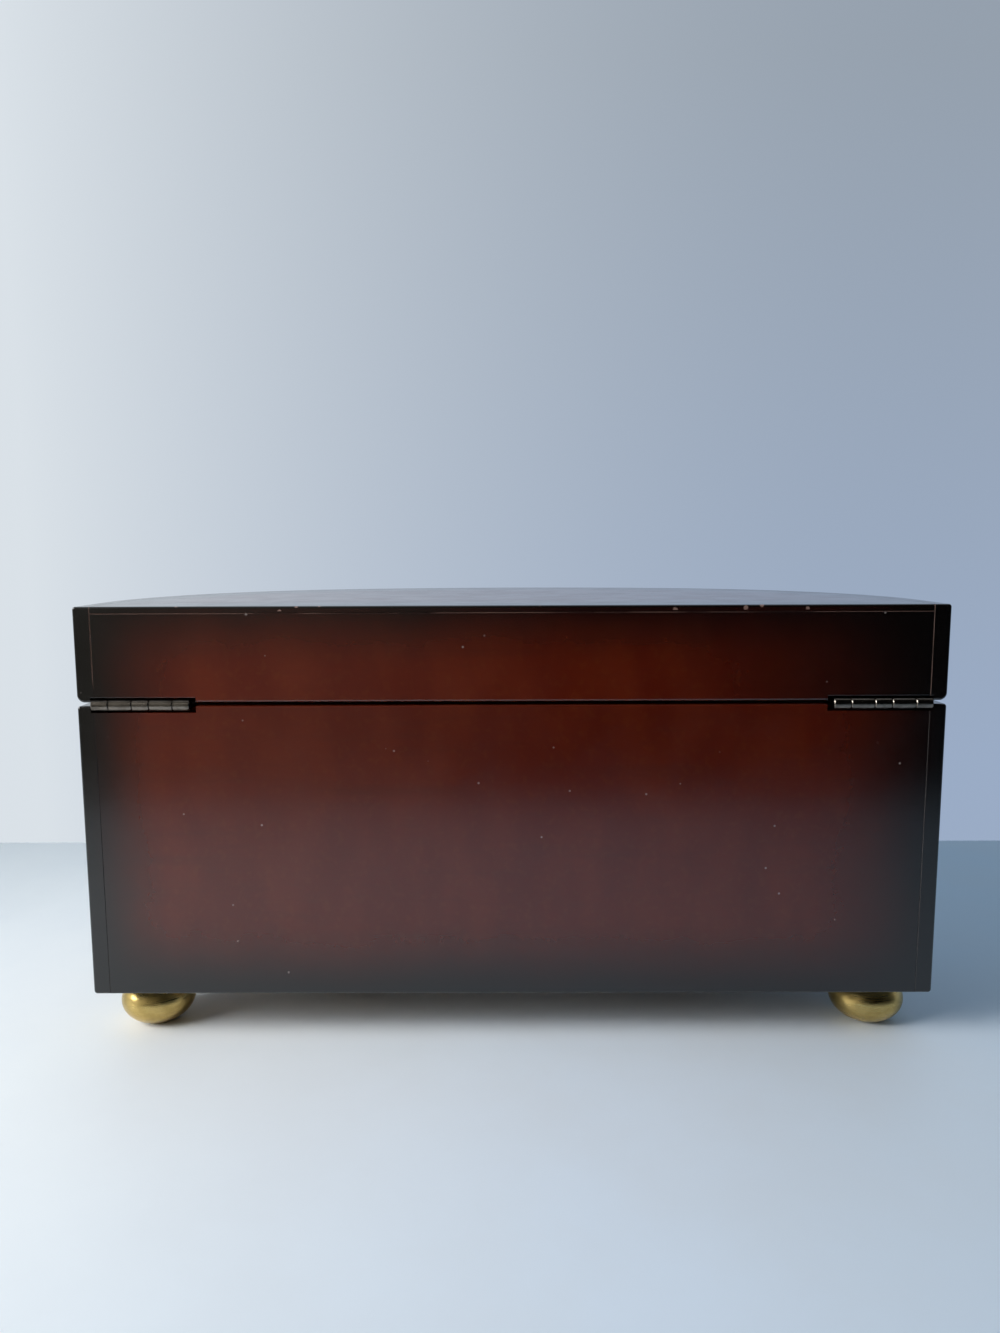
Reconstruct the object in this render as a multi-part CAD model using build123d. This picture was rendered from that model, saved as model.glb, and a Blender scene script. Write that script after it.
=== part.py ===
from build123d import *
import math
import os

# Half-moon jewelry box: flat back, straight side runs, bowed front, hinged lid, lift-out tray.
# Millimetres, +Z up, +Y from the flat back to the bowed front, origin on the floor at the middle.

# Plan outline
width = 305.0
depth = 140.0
side_run = 24.0
side_turn = 75.0
wall = 6.0
back_thickness = 9.0

# Heights
foot_height = 18.2
case_height = 106.35
joint_gap = 1.3
lid_height = 33.65
bottom_thickness = 6.0
lid_top_thickness = 2.4

# Eased edges, and the hairline grooves where two pieces of the wall meet
top_round = 1.0
lid_rim_round = 2.6
case_rim_round = 1.0
bottom_round = 1.2
back_round = 0.8
hairline = 0.15

# Finger cove under the front edge of the lid
cove_width = 36.0
cove_radius = 5.0
cove_depth = 2.5

# Hinges
hinge_side_inset = 5.0
barrel_length = 34.6
barrel_radius = 2.1
lid_knuckle_length = 8.1
knuckle_gap = 0.15
knuckle_chamfer = 0.25
axis_inset = 1.1
hinge_drop = 0.4
leaf_thickness = 0.9
leaf_width = 7.0
pin_radius = 0.9
pin_clearance = 0.05
barrel_clearance = 0.6
mortise_clearance = 0.2
mortise_overrun = 2.2
mortise_round = 0.4
hinge_screw_pitch = 11.5
hinge_screw_setback = 4.6
hinge_screw_radius = 0.9
hinge_screw_head_radius = 1.6
hinge_screw_length = 9.0
screw_clearance = 0.05
screw_slot_width = 0.5
screw_slot_depth = 0.3

# Bun feet
foot_radius = 13.6
foot_flat_radius = 5.0
foot_side_inset = 16.8
foot_back_inset = 19.0
front_foot_x = 72.0
front_foot_inset = 20.0
foot_screw_radius = 2.0
foot_screw_head_radius = 3.8
foot_screw_length = 15.0

# Linings of the case
board_thickness = 4.0
lining_thickness = 1.0
lining_rim_drop = 1.0
floor_pad_thickness = 3.0
soft_clearance = 0.3
divider_x = 48.0
divider_thickness = 3.0
divider_tray_gap = 2.0

# Lift-out tray
tray_height = 33.0
tray_rim_drop = 2.0
tray_clearance = 1.0
tray_wall_thickness = 3.0
tray_floor_thickness = 2.5
tray_lining_thickness = 1.2
tray_cross_x = 50.0
tray_board_thickness = 2.5
tray_board_drop = 3.0
partition_setback = 62.0
ring_roll_count = 8
ring_roll_gap = 0.6
ring_roll_height = 17.0
pull_width = 12.0
pull_thickness = 0.8
pull_drop = 14.0
pull_rise = 4.0
pull_setback = 8.0

# Inside of the lid
lid_backing_thickness = 1.5
surround_thickness = 5.0
surround_width = 19.0
mirror_thickness = 2.0
mirror_lap = 3.0

# Felt bumpers on the case rim
bumper_x = 60.0
bumper_radius = 1.6
bumper_inset = 4.2

# Levels worked out from the heights above
case_low = foot_height
case_top = case_low + case_height
hinge_z = case_top + joint_gap / 2 - hinge_drop
lid_low = case_top + joint_gap
lid_top_z = lid_low + lid_height
floor_z = case_low + bottom_thickness
pad_top = floor_z + floor_pad_thickness
tray_top = case_top - tray_rim_drop
tray_low = tray_top - tray_height
panel_low = lid_top_z - lid_top_thickness
backing_low = panel_low - lid_backing_thickness
surround_low = backing_low - surround_thickness

# Plan places: the hinge barrels stand a little behind the flat back
barrel_reach = barrel_radius - axis_inset
back_y = barrel_reach - (depth + barrel_reach) / 2
hinge_y = back_y + axis_inset

# The side arc hands over to the front arc at side_turn, where both have the same tangent
bow = depth - side_run
turn = math.radians(side_turn)
radius_step = (width / 2 - bow) / (math.cos(turn) + math.sin(turn) - 1)
side_radius = width / 2 - radius_step * math.cos(turn)
front_radius = side_radius + radius_step
front_centre_y = back_y + depth - front_radius
tray_inset = wall + lining_thickness + tray_clearance
tray_back_inset = back_thickness + lining_thickness + tray_clearance
tray_inner = tray_inset + tray_wall_thickness
tray_inner_back = tray_back_inset + tray_wall_thickness

# How far a cutting shape runs past what it cuts
cut = 1.0
beyond = 20.0


def box_between(x, y, z):
    """A block from pairs of limits along X, Y and Z."""
    size = [high - low for low, high in (x, y, z)]
    middle = [(high + low) / 2 for low, high in (x, y, z)]
    return Pos(*middle) * Box(*size)


def rod(radius, x, y, z):
    """A round rod along X between two limits."""
    return Pos((x[0] + x[1]) / 2, y, z) * Rot(0, 90, 0) * Cylinder(radius, x[1] - x[0])


def upright(radius, x, y, low, high):
    """A round rod along Z."""
    return Pos(x, y, (low + high) / 2) * Cylinder(radius, high - low)


def half_moon(inset, back):
    """Plan outline moved in from the outside of the wall, with its straight back at y = back."""
    half = width / 2 - inset
    side_y = back_y + side_run
    centre_x = width / 2 - side_radius
    radius = side_radius - inset
    crown = (0, front_centre_y + front_radius - inset)

    def on_side_arc(angle, sign):
        return (sign * (centre_x + radius * math.cos(angle)), side_y + radius * math.sin(angle))

    edges = [Line((-half, back), (half, back))]
    for sign in (1, -1):
        shoulder = on_side_arc(turn, sign)
        edges.append(Line((sign * half, back), (sign * half, side_y)))
        edges.append(ThreePointArc((sign * half, side_y), on_side_arc(turn / 2, sign), shoulder))
    edges.append(ThreePointArc(on_side_arc(turn, 1), crown, on_side_arc(turn, -1)))
    return make_face(Wire(edges))


def plan_block(inset, back_inset, low, high):
    """A block of the plan outline between two levels, its back moved in by back_inset."""
    outline = half_moon(inset, back_y - beyond)
    block = Pos(0, 0, low) * extrude(outline, high - low)
    keep = box_between((-width, width), (back_y + back_inset, depth), (low - cut, high + cut))
    return block & keep


def plan_ring(inset, thickness, back_inset, back_thick, low, high):
    """A wall of even thickness that follows the plan outline all round."""
    outer = plan_block(inset, back_inset, low, high)
    inner = plan_block(inset + thickness, back_inset + back_thick, low - cut, high + cut)
    return outer - inner


def outline_y(x, inset):
    """Y of the front arc, moved in by inset, at a given x."""
    return front_centre_y + math.sqrt((front_radius - inset) ** 2 - x**2)


def bowed_rim(block, level):
    """The edges of one rim that run along the sides and the front. level is 0 below and -1 above."""
    rim = block.edges().group_by(Axis.Z)[level]
    return rim.filter_by(lambda edge: edge.center().Y > back_y + cut)


def eased_block(low, high, low_round, high_round):
    """The outer block with its bowed rims rounded, then its flat back eased all round."""
    block = plan_block(0, 0, low, high)
    block = fillet(bowed_rim(block, 0), low_round)
    block = fillet(bowed_rim(block, -1), high_round)
    back_face = block.faces().sort_by(Axis.Y)[0]
    return fillet(back_face.edges(), back_round)


def ease_mortises(block):
    """Rounds the long edges that the hinge mortises leave on the flat back."""
    longest = barrel_length + mortise_overrun + cut
    lines = block.edges().filter_by(Axis.X).filter_by(lambda edge: edge.length < longest)
    lines = lines.filter_by(lambda edge: abs(edge.center().Y - back_y) < hairline)
    return fillet(lines, mortise_round)


def hinge_centre(sign):
    """Middle of a hinge barrel along X."""
    return sign * (width / 2 - hinge_side_inset - barrel_length / 2)


def hinge_span(sign, extra_out=0.0, extra_in=0.0):
    """Limits of a hinge along X, longer at its outer and inner end."""
    outer = width / 2 - hinge_side_inset + extra_out
    inner = width / 2 - hinge_side_inset - barrel_length - extra_in
    return (inner, outer) if sign > 0 else (-outer, -inner)


def leaf_level(upper):
    """Lower and upper face of a leaf: on the case rim, or under the lid rim."""
    if upper:
        return (lid_low, lid_low + leaf_thickness)
    return (case_top - leaf_thickness, case_top)


def mortise(sign, upper):
    """The recess cut in the wood for one leaf and for the barrel."""
    span = hinge_span(sign, mortise_clearance, mortise_overrun)
    low, high = leaf_level(upper)
    level = (low - cut, high) if upper else (low, high + cut)
    front = hinge_y + leaf_width + mortise_clearance
    seat = box_between(span, (back_y - cut, front), level)
    return seat + rod(barrel_radius + barrel_clearance, span, hinge_y, hinge_z)


def screw_holes_x(sign):
    return [hinge_centre(sign) + k * hinge_screw_pitch for k in (-1, 0, 1)]


def countersunk(radius, head_radius, length, grow=0.0):
    """A countersunk screw with its flat head at z = 0 and its point down."""
    taper = head_radius - radius
    head = Pos(0, 0, -taper / 2) * Cone(radius + grow, head_radius + grow, taper)
    shank = Pos(0, 0, -(taper + length - radius) / 2) * Cylinder(radius + grow, length - radius - taper)
    tip = Pos(0, 0, -length + radius / 2) * Cone(radius / 3, radius + grow, radius + grow)
    return head + shank + tip


def driven_screw():
    """A hinge screw with a slot across its head."""
    half = screw_slot_width / 2
    reach = hinge_screw_head_radius
    slot = box_between((-half, half), (-reach, reach), (-screw_slot_depth, cut))
    return countersunk(hinge_screw_radius, hinge_screw_head_radius, hinge_screw_length) - slot


def hinge_screw_places(upper):
    """Where the hinge screws sit, head outwards in the leaf."""
    y = hinge_y + hinge_screw_setback
    flip = Rot(180, 0, 0) if upper else Rot(0, 0, 0)
    z = lid_low if upper else case_top
    return [Pos(x, y, z) * flip for sign in (-1, 1) for x in screw_holes_x(sign)]


def hinge_screw_cutter():
    return countersunk(hinge_screw_radius, hinge_screw_head_radius, hinge_screw_length, screw_clearance)


def knuckles(sign):
    """Limits along X of the five knuckles, from the left. The second and fourth belong to the lid."""
    case_knuckle = (barrel_length - 2 * lid_knuckle_length - 4 * knuckle_gap) / 3
    lengths = [case_knuckle, lid_knuckle_length, case_knuckle, lid_knuckle_length, case_knuckle]
    start = hinge_span(sign)[0]
    limits = []
    for length in lengths:
        limits.append((start, start + length))
        start += length + knuckle_gap
    return limits


def knuckle(span):
    """One rolled knuckle with eased ends."""
    barrel = rod(barrel_radius, span, hinge_y, hinge_z)
    return chamfer(barrel.edges().filter_by(GeomType.CIRCLE), knuckle_chamfer)


def hinge_leaf(sign, upper):
    """One leaf with its knuckles, bored for the pin and drilled for its screws."""
    own = 1 if upper else 0
    low, high = leaf_level(upper)
    leaf = box_between(hinge_span(sign), (hinge_y, hinge_y + leaf_width), (low, high))
    for index, (start, end) in enumerate(knuckles(sign)):
        if index % 2 != own:
            gap = (start - knuckle_gap, end + knuckle_gap)
            leaf -= rod(barrel_radius + knuckle_gap, gap, hinge_y, hinge_z)
    for index, span in enumerate(knuckles(sign)):
        if index % 2 == own:
            leaf += knuckle(span)
    bore = hinge_span(sign, cut, cut)
    leaf -= rod(pin_radius + pin_clearance, bore, hinge_y, hinge_z)
    for place in hinge_screw_places(upper):
        leaf -= place * hinge_screw_cutter()
    return leaf


def lid_stop_angle():
    """Degrees at which the open lid's eased back edge meets the case's."""
    run = back_round - axis_inset
    lid_rise = lid_low + back_round - hinge_z
    case_rise = case_top - back_round - hinge_z
    lid_reach = math.hypot(run, lid_rise)
    case_reach = math.hypot(run, case_rise)
    apart = (lid_reach**2 + case_reach**2 - (2 * back_round) ** 2) / (2 * lid_reach * case_reach)
    turned = math.atan2(case_rise, run) + math.tau - math.acos(apart) - math.atan2(lid_rise, run)
    return math.degrees(turned)


def foot_places():
    """Plan places of the four feet, by name."""
    back_x = width / 2 - foot_side_inset
    front_y = outline_y(front_foot_x, front_foot_inset)
    return {
        "foot_back_left": (-back_x, back_y + foot_back_inset),
        "foot_back_right": (back_x, back_y + foot_back_inset),
        "foot_front_left": (-front_foot_x, front_y),
        "foot_front_right": (front_foot_x, front_y),
    }


def foot_screw(grow=0.0):
    return countersunk(foot_screw_radius, foot_screw_head_radius, foot_screw_length, grow)


def bun_foot(x, y):
    """A flattened ball with a small flat above and below, drilled for its screw."""
    half = foot_height / 2
    belly = half / math.sqrt(1 - (foot_flat_radius / foot_radius) ** 2)
    ball = scale(Sphere(foot_radius), by=(1, 1, belly / foot_radius))
    bun = ball & Box(4 * foot_radius, 4 * foot_radius, foot_height)
    return Pos(x, y, half) * bun - Pos(x, y, floor_z) * foot_screw(screw_clearance)


def end_joint(sign, low, high):
    """The fine groove on the back where a wall end meets the back panel."""
    side = hairline * math.sqrt(2)
    groove = Rot(0, 0, 45) * Box(side, side, high - low)
    return Pos(sign * (width / 2 - wall), back_y, (low + high) / 2) * groove


def top_joint():
    """The fine groove where the lid's top panel meets the rail behind it and the wall around it."""
    side = hairline * math.sqrt(2)
    groove = Pos(0, back_y, panel_low) * Rot(45, 0, 0) * Box(width - 2 * wall, side, side)
    outer = plan_block(wall - hairline, -beyond / 2, lid_top_z - hairline, lid_top_z + cut)
    return groove + (outer - plan_block(wall + hairline, -beyond / 2, lid_low, lid_top_z + cut))


def case_shell():
    """Outer block of the case with its hinge mortises and end joints."""
    block = eased_block(case_low, case_top, bottom_round, case_rim_round)
    for sign in (-1, 1):
        block -= mortise(sign, False)
    block = ease_mortises(block)
    for sign in (-1, 1):
        block -= end_joint(sign, case_low - cut, case_top + cut)
    return block


def lid_shell():
    """Outer block of the lid with its hinge mortises, joints and finger cove."""
    block = eased_block(lid_low, lid_top_z, lid_rim_round, top_round)
    for sign in (-1, 1):
        block -= mortise(sign, True)
    block = ease_mortises(block)
    for sign in (-1, 1):
        block -= end_joint(sign, lid_low - cut, lid_top_z + cut)
    return block - top_joint() - finger_cove()


def finger_cove():
    """A round-ended hollow that lets a finger under the front edge of the lid."""
    y = back_y + depth + cove_radius - cove_depth
    half = cove_width / 2 - cove_radius
    cove = rod(cove_radius, (-half, half), y, lid_low)
    for sign in (-1, 1):
        cove += Pos(sign * half, y, lid_low) * Sphere(cove_radius)
    return cove


def back_zone(low, high):
    """The space of the flat back panel between the two wall ends."""
    inner = width / 2 - wall
    return box_between((-inner, inner), (back_y - beyond, back_y + back_thickness), (low, high))


def case_parts():
    shell = case_shell()
    hollow = plan_block(wall, -beyond / 2, case_low - cut, case_top + cut)
    bottom = plan_block(wall, back_thickness, case_low, floor_z)
    for x, y in foot_places().values():
        bottom -= Pos(x, y, floor_z) * foot_screw(screw_clearance)
    back = shell & back_zone(case_low - cut, case_top + cut)
    for place in hinge_screw_places(False):
        back -= place * hinge_screw_cutter()
    return {"case_wall": shell - hollow, "case_back": back, "case_bottom": bottom}


def case_linings():
    board_inset = wall + board_thickness + soft_clearance
    board_back = back_thickness + board_thickness + soft_clearance
    parts = {
        "lining_board": plan_ring(
            wall, board_thickness, back_thickness, board_thickness, floor_z, tray_low
        ),
        "case_lining": plan_ring(
            wall, lining_thickness, back_thickness, lining_thickness, tray_low, case_top - lining_rim_drop
        ),
        "floor_pad": plan_block(board_inset, board_back, floor_z, pad_top),
    }
    divider_top = tray_low - divider_tray_gap
    space = plan_block(board_inset, board_back, pad_top, divider_top)
    for name, sign in (("divider_left", -1), ("divider_right", 1)):
        limits = sorted(sign * (divider_x + k * divider_thickness / 2) for k in (-1, 1))
        slab = box_between(limits, (-depth, depth), (pad_top - cut, divider_top + cut))
        parts[name] = space & slab
    return parts


def feet():
    return {name: bun_foot(x, y) for name, (x, y) in foot_places().items()}


def foot_screws():
    return Compound([Pos(x, y, floor_z) * foot_screw() for x, y in foot_places().values()])


def rim_bumpers():
    """Two felt dots on the front rim that the closed lid rests on."""
    y = outline_y(bumper_x, bumper_inset)
    return Compound([upright(bumper_radius, s * bumper_x, y, case_top, lid_low) for s in (-1, 1)])


def hinges():
    parts = {}
    for side, sign in (("left", -1), ("right", 1)):
        parts[f"hinge_{side}_case_leaf"] = hinge_leaf(sign, False)
        parts[f"hinge_{side}_lid_leaf"] = hinge_leaf(sign, True)
        parts[f"hinge_{side}_pin"] = rod(pin_radius, hinge_span(sign), hinge_y, hinge_z)
    for name, upper in (("case_hinge_screws", False), ("lid_hinge_screws", True)):
        parts[name] = Compound([place * driven_screw() for place in hinge_screw_places(upper)])
    return parts


def lid_parts():
    shell = lid_shell()
    hollow = plan_block(wall, -beyond / 2, lid_low - cut, lid_top_z + cut)
    rail = shell & back_zone(lid_low - cut, panel_low)
    for place in hinge_screw_places(True):
        rail -= place * hinge_screw_cutter()
    top = shell & plan_block(wall, -beyond / 2, panel_low, lid_top_z + cut)
    return {"lid_wall": shell - hollow, "lid_rail": rail, "lid_top": top}


def lid_fittings():
    mirror_inset = surround_width - mirror_lap
    mirror_low = backing_low - mirror_thickness
    surround = plan_ring(
        wall + soft_clearance,
        surround_width - soft_clearance,
        back_thickness + soft_clearance,
        surround_width - soft_clearance,
        surround_low,
        backing_low,
    )
    rebate = plan_block(
        wall + mirror_inset - soft_clearance,
        back_thickness + mirror_inset - soft_clearance,
        mirror_low,
        backing_low + cut,
    )
    return {
        "lid_backing": plan_block(wall, back_thickness, backing_low, panel_low),
        "mirror": plan_block(wall + mirror_inset, back_thickness + mirror_inset, mirror_low, backing_low),
        "mirror_surround": surround - rebate,
        "lid_lining": plan_ring(
            wall,
            lining_thickness,
            back_thickness,
            lining_thickness,
            lid_low + lining_rim_drop,
            surround_low,
        ),
    }


def tray_shell():
    floor_top = tray_low + tray_floor_thickness
    return {
        "tray_wall": plan_ring(
            tray_inset, tray_wall_thickness, tray_back_inset, tray_wall_thickness, tray_low, tray_top
        ),
        "tray_floor": plan_block(tray_inner, tray_inner_back, tray_low, floor_top),
        "tray_floor_lining": plan_block(
            tray_inner, tray_inner_back, floor_top, floor_top + tray_lining_thickness
        ),
    }


def tray_boards():
    """Two cross walls from back to front, and a short partition in each end bay."""
    low = tray_low + tray_floor_thickness + tray_lining_thickness
    high = tray_top - tray_board_drop
    space = plan_block(tray_inner, tray_inner_back, low, high)
    half = tray_board_thickness / 2
    partition_y = back_y + partition_setback
    parts = {}
    for side, sign in (("left", -1), ("right", 1)):
        x = sorted(sign * (tray_cross_x + k * half) for k in (-1, 1))
        cross = box_between(x, (-depth, depth), (low - cut, high + cut))
        parts[f"tray_cross_{side}"] = space & cross
        bay_x = sorted((sign * (tray_cross_x + half), sign * width))
        bay = box_between(bay_x, (partition_y - half, partition_y + half), (low - cut, high + cut))
        parts[f"tray_partition_{side}"] = space & bay
    return parts


def ring_rolls():
    """Round-topped rolls side by side across the middle bay."""
    low = tray_low + tray_floor_thickness + tray_lining_thickness
    half_length = tray_cross_x - tray_board_thickness / 2 - soft_clearance
    start = back_y + tray_inner_back + soft_clearance
    end = outline_y(half_length, tray_inner) - soft_clearance
    pitch = (end - start + ring_roll_gap) / ring_roll_count
    radius = (pitch - ring_roll_gap) / 2
    parts = {}
    for index in range(ring_roll_count):
        y = start + index * pitch + radius
        top = low + ring_roll_height - radius
        flank = box_between((-half_length, half_length), (y - radius, y + radius), (low, top))
        parts[f"ring_roll_{index + 1}"] = flank + rod(radius, (-half_length, half_length), y, top)
    return parts


def tray_pulls():
    """Ribbon tabs on the outer faces of the cross walls."""
    high = tray_top + pull_rise
    low = tray_top - pull_drop
    y = back_y + partition_setback + tray_board_thickness / 2 + pull_setback + pull_width / 2
    parts = {}
    for side, sign in (("left", -1), ("right", 1)):
        face = tray_cross_x + tray_board_thickness / 2
        x = sorted((sign * face, sign * (face + pull_thickness)))
        parts[f"tray_pull_{side}"] = box_between(x, (y - pull_width / 2, y + pull_width / 2), (low, high))
    return parts


def build():
    parts = {}
    parts.update(case_parts())
    parts.update(case_linings())
    parts.update(feet())
    parts["foot_screws"] = foot_screws()
    parts["rim_bumpers"] = rim_bumpers()
    parts.update(hinges())
    parts.update(lid_parts())
    parts.update(lid_fittings())
    parts.update(tray_shell())
    parts.update(tray_boards())
    parts.update(ring_rolls())
    parts.update(tray_pulls())
    return parts


os.makedirs("parts", exist_ok=True)
for name, shape in build().items():
    export_step(shape, f"parts/{name}.step")

print("side radius", round(side_radius, 1), "front radius", round(front_radius, 1))
print("the lid stops at", round(lid_stop_angle(), 1), "degrees")
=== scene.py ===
import math
import random

import bpy
from mathutils import Matrix, Vector, noise


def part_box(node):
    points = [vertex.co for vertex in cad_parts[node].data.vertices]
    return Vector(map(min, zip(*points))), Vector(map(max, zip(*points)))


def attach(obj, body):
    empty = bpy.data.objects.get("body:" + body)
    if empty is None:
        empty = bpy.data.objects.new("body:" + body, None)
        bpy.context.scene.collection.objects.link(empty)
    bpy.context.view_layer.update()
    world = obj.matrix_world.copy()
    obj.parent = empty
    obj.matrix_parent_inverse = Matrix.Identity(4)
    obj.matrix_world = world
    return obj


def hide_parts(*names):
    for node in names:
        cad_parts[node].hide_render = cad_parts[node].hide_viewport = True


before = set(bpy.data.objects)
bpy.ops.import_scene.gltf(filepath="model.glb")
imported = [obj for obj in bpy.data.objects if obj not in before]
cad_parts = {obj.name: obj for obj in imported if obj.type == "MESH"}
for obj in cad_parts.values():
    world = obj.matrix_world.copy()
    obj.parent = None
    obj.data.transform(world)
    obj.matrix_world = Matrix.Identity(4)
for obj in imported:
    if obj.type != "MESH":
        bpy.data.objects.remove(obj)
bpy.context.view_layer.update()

# Half-moon jewelry box with its lid, lift-out tray and lining, seen from behind. Metres.
mm = 0.001

# Sizes of the box, read from the frame
lid_low_corner, lid_high_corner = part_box("lid_wall")
case_low_corner, case_high_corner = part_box("case_wall")
half_width = lid_high_corner.x
back_y = lid_low_corner.y
front_y = lid_high_corner.y
wall = half_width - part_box("lid_top")[1].x
back_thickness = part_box("case_back")[1].y - back_y
lid_top_z = lid_high_corner.z
lid_low_z = lid_low_corner.z
panel_low_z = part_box("lid_top")[0].z
case_top_z = case_high_corner.z
case_low_z = case_low_corner.z

# Plan of the bowed wall: a side run, a side arc and a front arc that meet at side_turn
side_run = 24 * mm
side_turn = math.radians(75)
side_y = back_y + side_run
bow = front_y - side_y
radius_step = (half_width - bow) / (math.cos(side_turn) + math.sin(side_turn) - 1)
side_radius = half_width - radius_step * math.cos(side_turn)
side_centre_x = half_width - side_radius
front_radius = side_radius + radius_step
front_centre_y = front_y - front_radius

# Points along each stretch of the plan outline
corner_steps = 4
run_steps = 3
arc_steps = 28
back_steps = 24

# Camera of the photograph, fitted to the outline of the box
picture_height = 1333
focal_pixels = 970
sensor_width = 36
camera_x = -2.4 * mm
camera_setback = 335.6 * mm
camera_rise = 21.1 * mm
camera_pitch = math.radians(7.195)
camera_yaw = math.radians(-0.254)
camera_roll = math.radians(-0.214)
camera_near = 10 * mm

# Pale wall beyond the box, its glow painted light: bright on the left, dim on the right and bluer near the
# floor there
stage_reach = 4.0
wall_y = 170 * mm
wall_reach = 283 * mm
wall_blue_top = 450 * mm
wall_blue_full = 50 * mm
wall_bright = (0.70, 0.755, 0.805)
wall_dim = (0.300, 0.352, 0.420)
wall_blue = (0.325, 0.410, 0.560)

# Pale floor with painted light: brighter on the left under the window, darker and bluer on the right
floor_turn_left = (-160 * mm, 20 * mm)
floor_turn_right = (50 * mm, 250 * mm)
floor_left = (0.80, 0.81, 0.80)
floor_middle = (0.76, 0.83, 0.91)
floor_right = (0.68, 0.76, 0.83)
floor_grey = (0.72, 0.74, 0.76)

# What the back of the box reflects: a room that is lighter on the left
room_reach = 3
room_y = -400 * mm
room_edge = -55 * mm
room_blend = 120 * mm
room_bright = (0.165, 0.160, 0.135)
room_dark = (0.003, 0.003, 0.003)

# Window to the left of the flat back, a weak lamp overhead and light from all round
window_place = (-0.70, -0.365, 0.42)
window_target = (-0.05, -0.08, 0.03)
window_size = (0.42, 0.42)
window_power = 2.2
window_tint = (0.97, 0.985, 1.0)
window_spread = math.radians(80)
fill_place = (0.15, -0.2, 1.8)
fill_target = (0, 0, 0.08)
fill_size = (1.2, 1.2)
fill_power = 1.5
fill_tint = (0.97, 0.98, 1.0)
ambient_tint = (0.47, 0.73, 1.0)
ambient_strength = 0.54
surroundings_tint = (0.50, 0.56, 0.63)
surroundings_strength = 1.0

# Finish of the wood: dark cherry, shaded to near black at the edges
cherry = (0.075, 0.0068, 0.0018)
cherry_light = (0.098, 0.0120, 0.0032)
cherry_deep = (0.052, 0.0085, 0.0042)
cherry_gold = (0.112, 0.026, 0.0055)
edge_black = (0.0028, 0.0022, 0.0021)
# Pale colour of real chips in the lacquer, also used as painted highlight on the joint lines
chip_wear_and_joint_highlight = (0.22, 0.135, 0.11)
dust_grey = (0.42, 0.37, 0.35)

# How far the dark edges reach: from the left and right corners, then from the top, the bottom and the
# panel's outline. The open field of the case stays a little darker than the lid's.
# The right-hand reaches are wider than the left: painted shade where the window's light falls off to the
# right
case_burst_and_shade = (30 * mm, 50 * mm)
lid_burst_and_shade = (46 * mm, 115 * mm)
burst_start = 1 * mm
burst_top_start = -5 * mm
burst_top = 24 * mm
burst_bottom = 31 * mm
case_openness = 0.9
burst_panel = (3 * mm, 34 * mm)

# Joint lines, pale with painted highlight, and nicks on the flat back
joint_line = 0.17 * mm
joint_depth = 0.4 * mm
case_joint_share = 0.16
chip_spacing = 6 * mm
chip_drop = 1.7 * mm
chip_depth = 1.2 * mm

# Colours of the lining, the metals and the hidden wood
suede_pale = (0.50, 0.37, 0.24)
suede = (0.46, 0.335, 0.215)
suede_dark = (0.36, 0.255, 0.158)
sheen_tint = (1.0, 0.93, 0.82)
felt_light = (0.030, 0.022, 0.020)
felt_dark = (0.012, 0.010, 0.010)
ribbon_light = (0.40, 0.28, 0.15)
ribbon_deep = (0.30, 0.205, 0.105)
panel_wood = (0.20, 0.135, 0.085)
panel_streak = (0.34, 0.24, 0.155)
brass_bright = (0.59, 0.43, 0.16)
brass_aged = (0.45, 0.32, 0.108)
nickel_bright = (0.20, 0.175, 0.15)
nickel_dull = (0.12, 0.103, 0.087)
steel_bright = (0.30, 0.28, 0.26)
steel_dull = (0.16, 0.145, 0.13)
silvering = (0.86, 0.88, 0.885)


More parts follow.
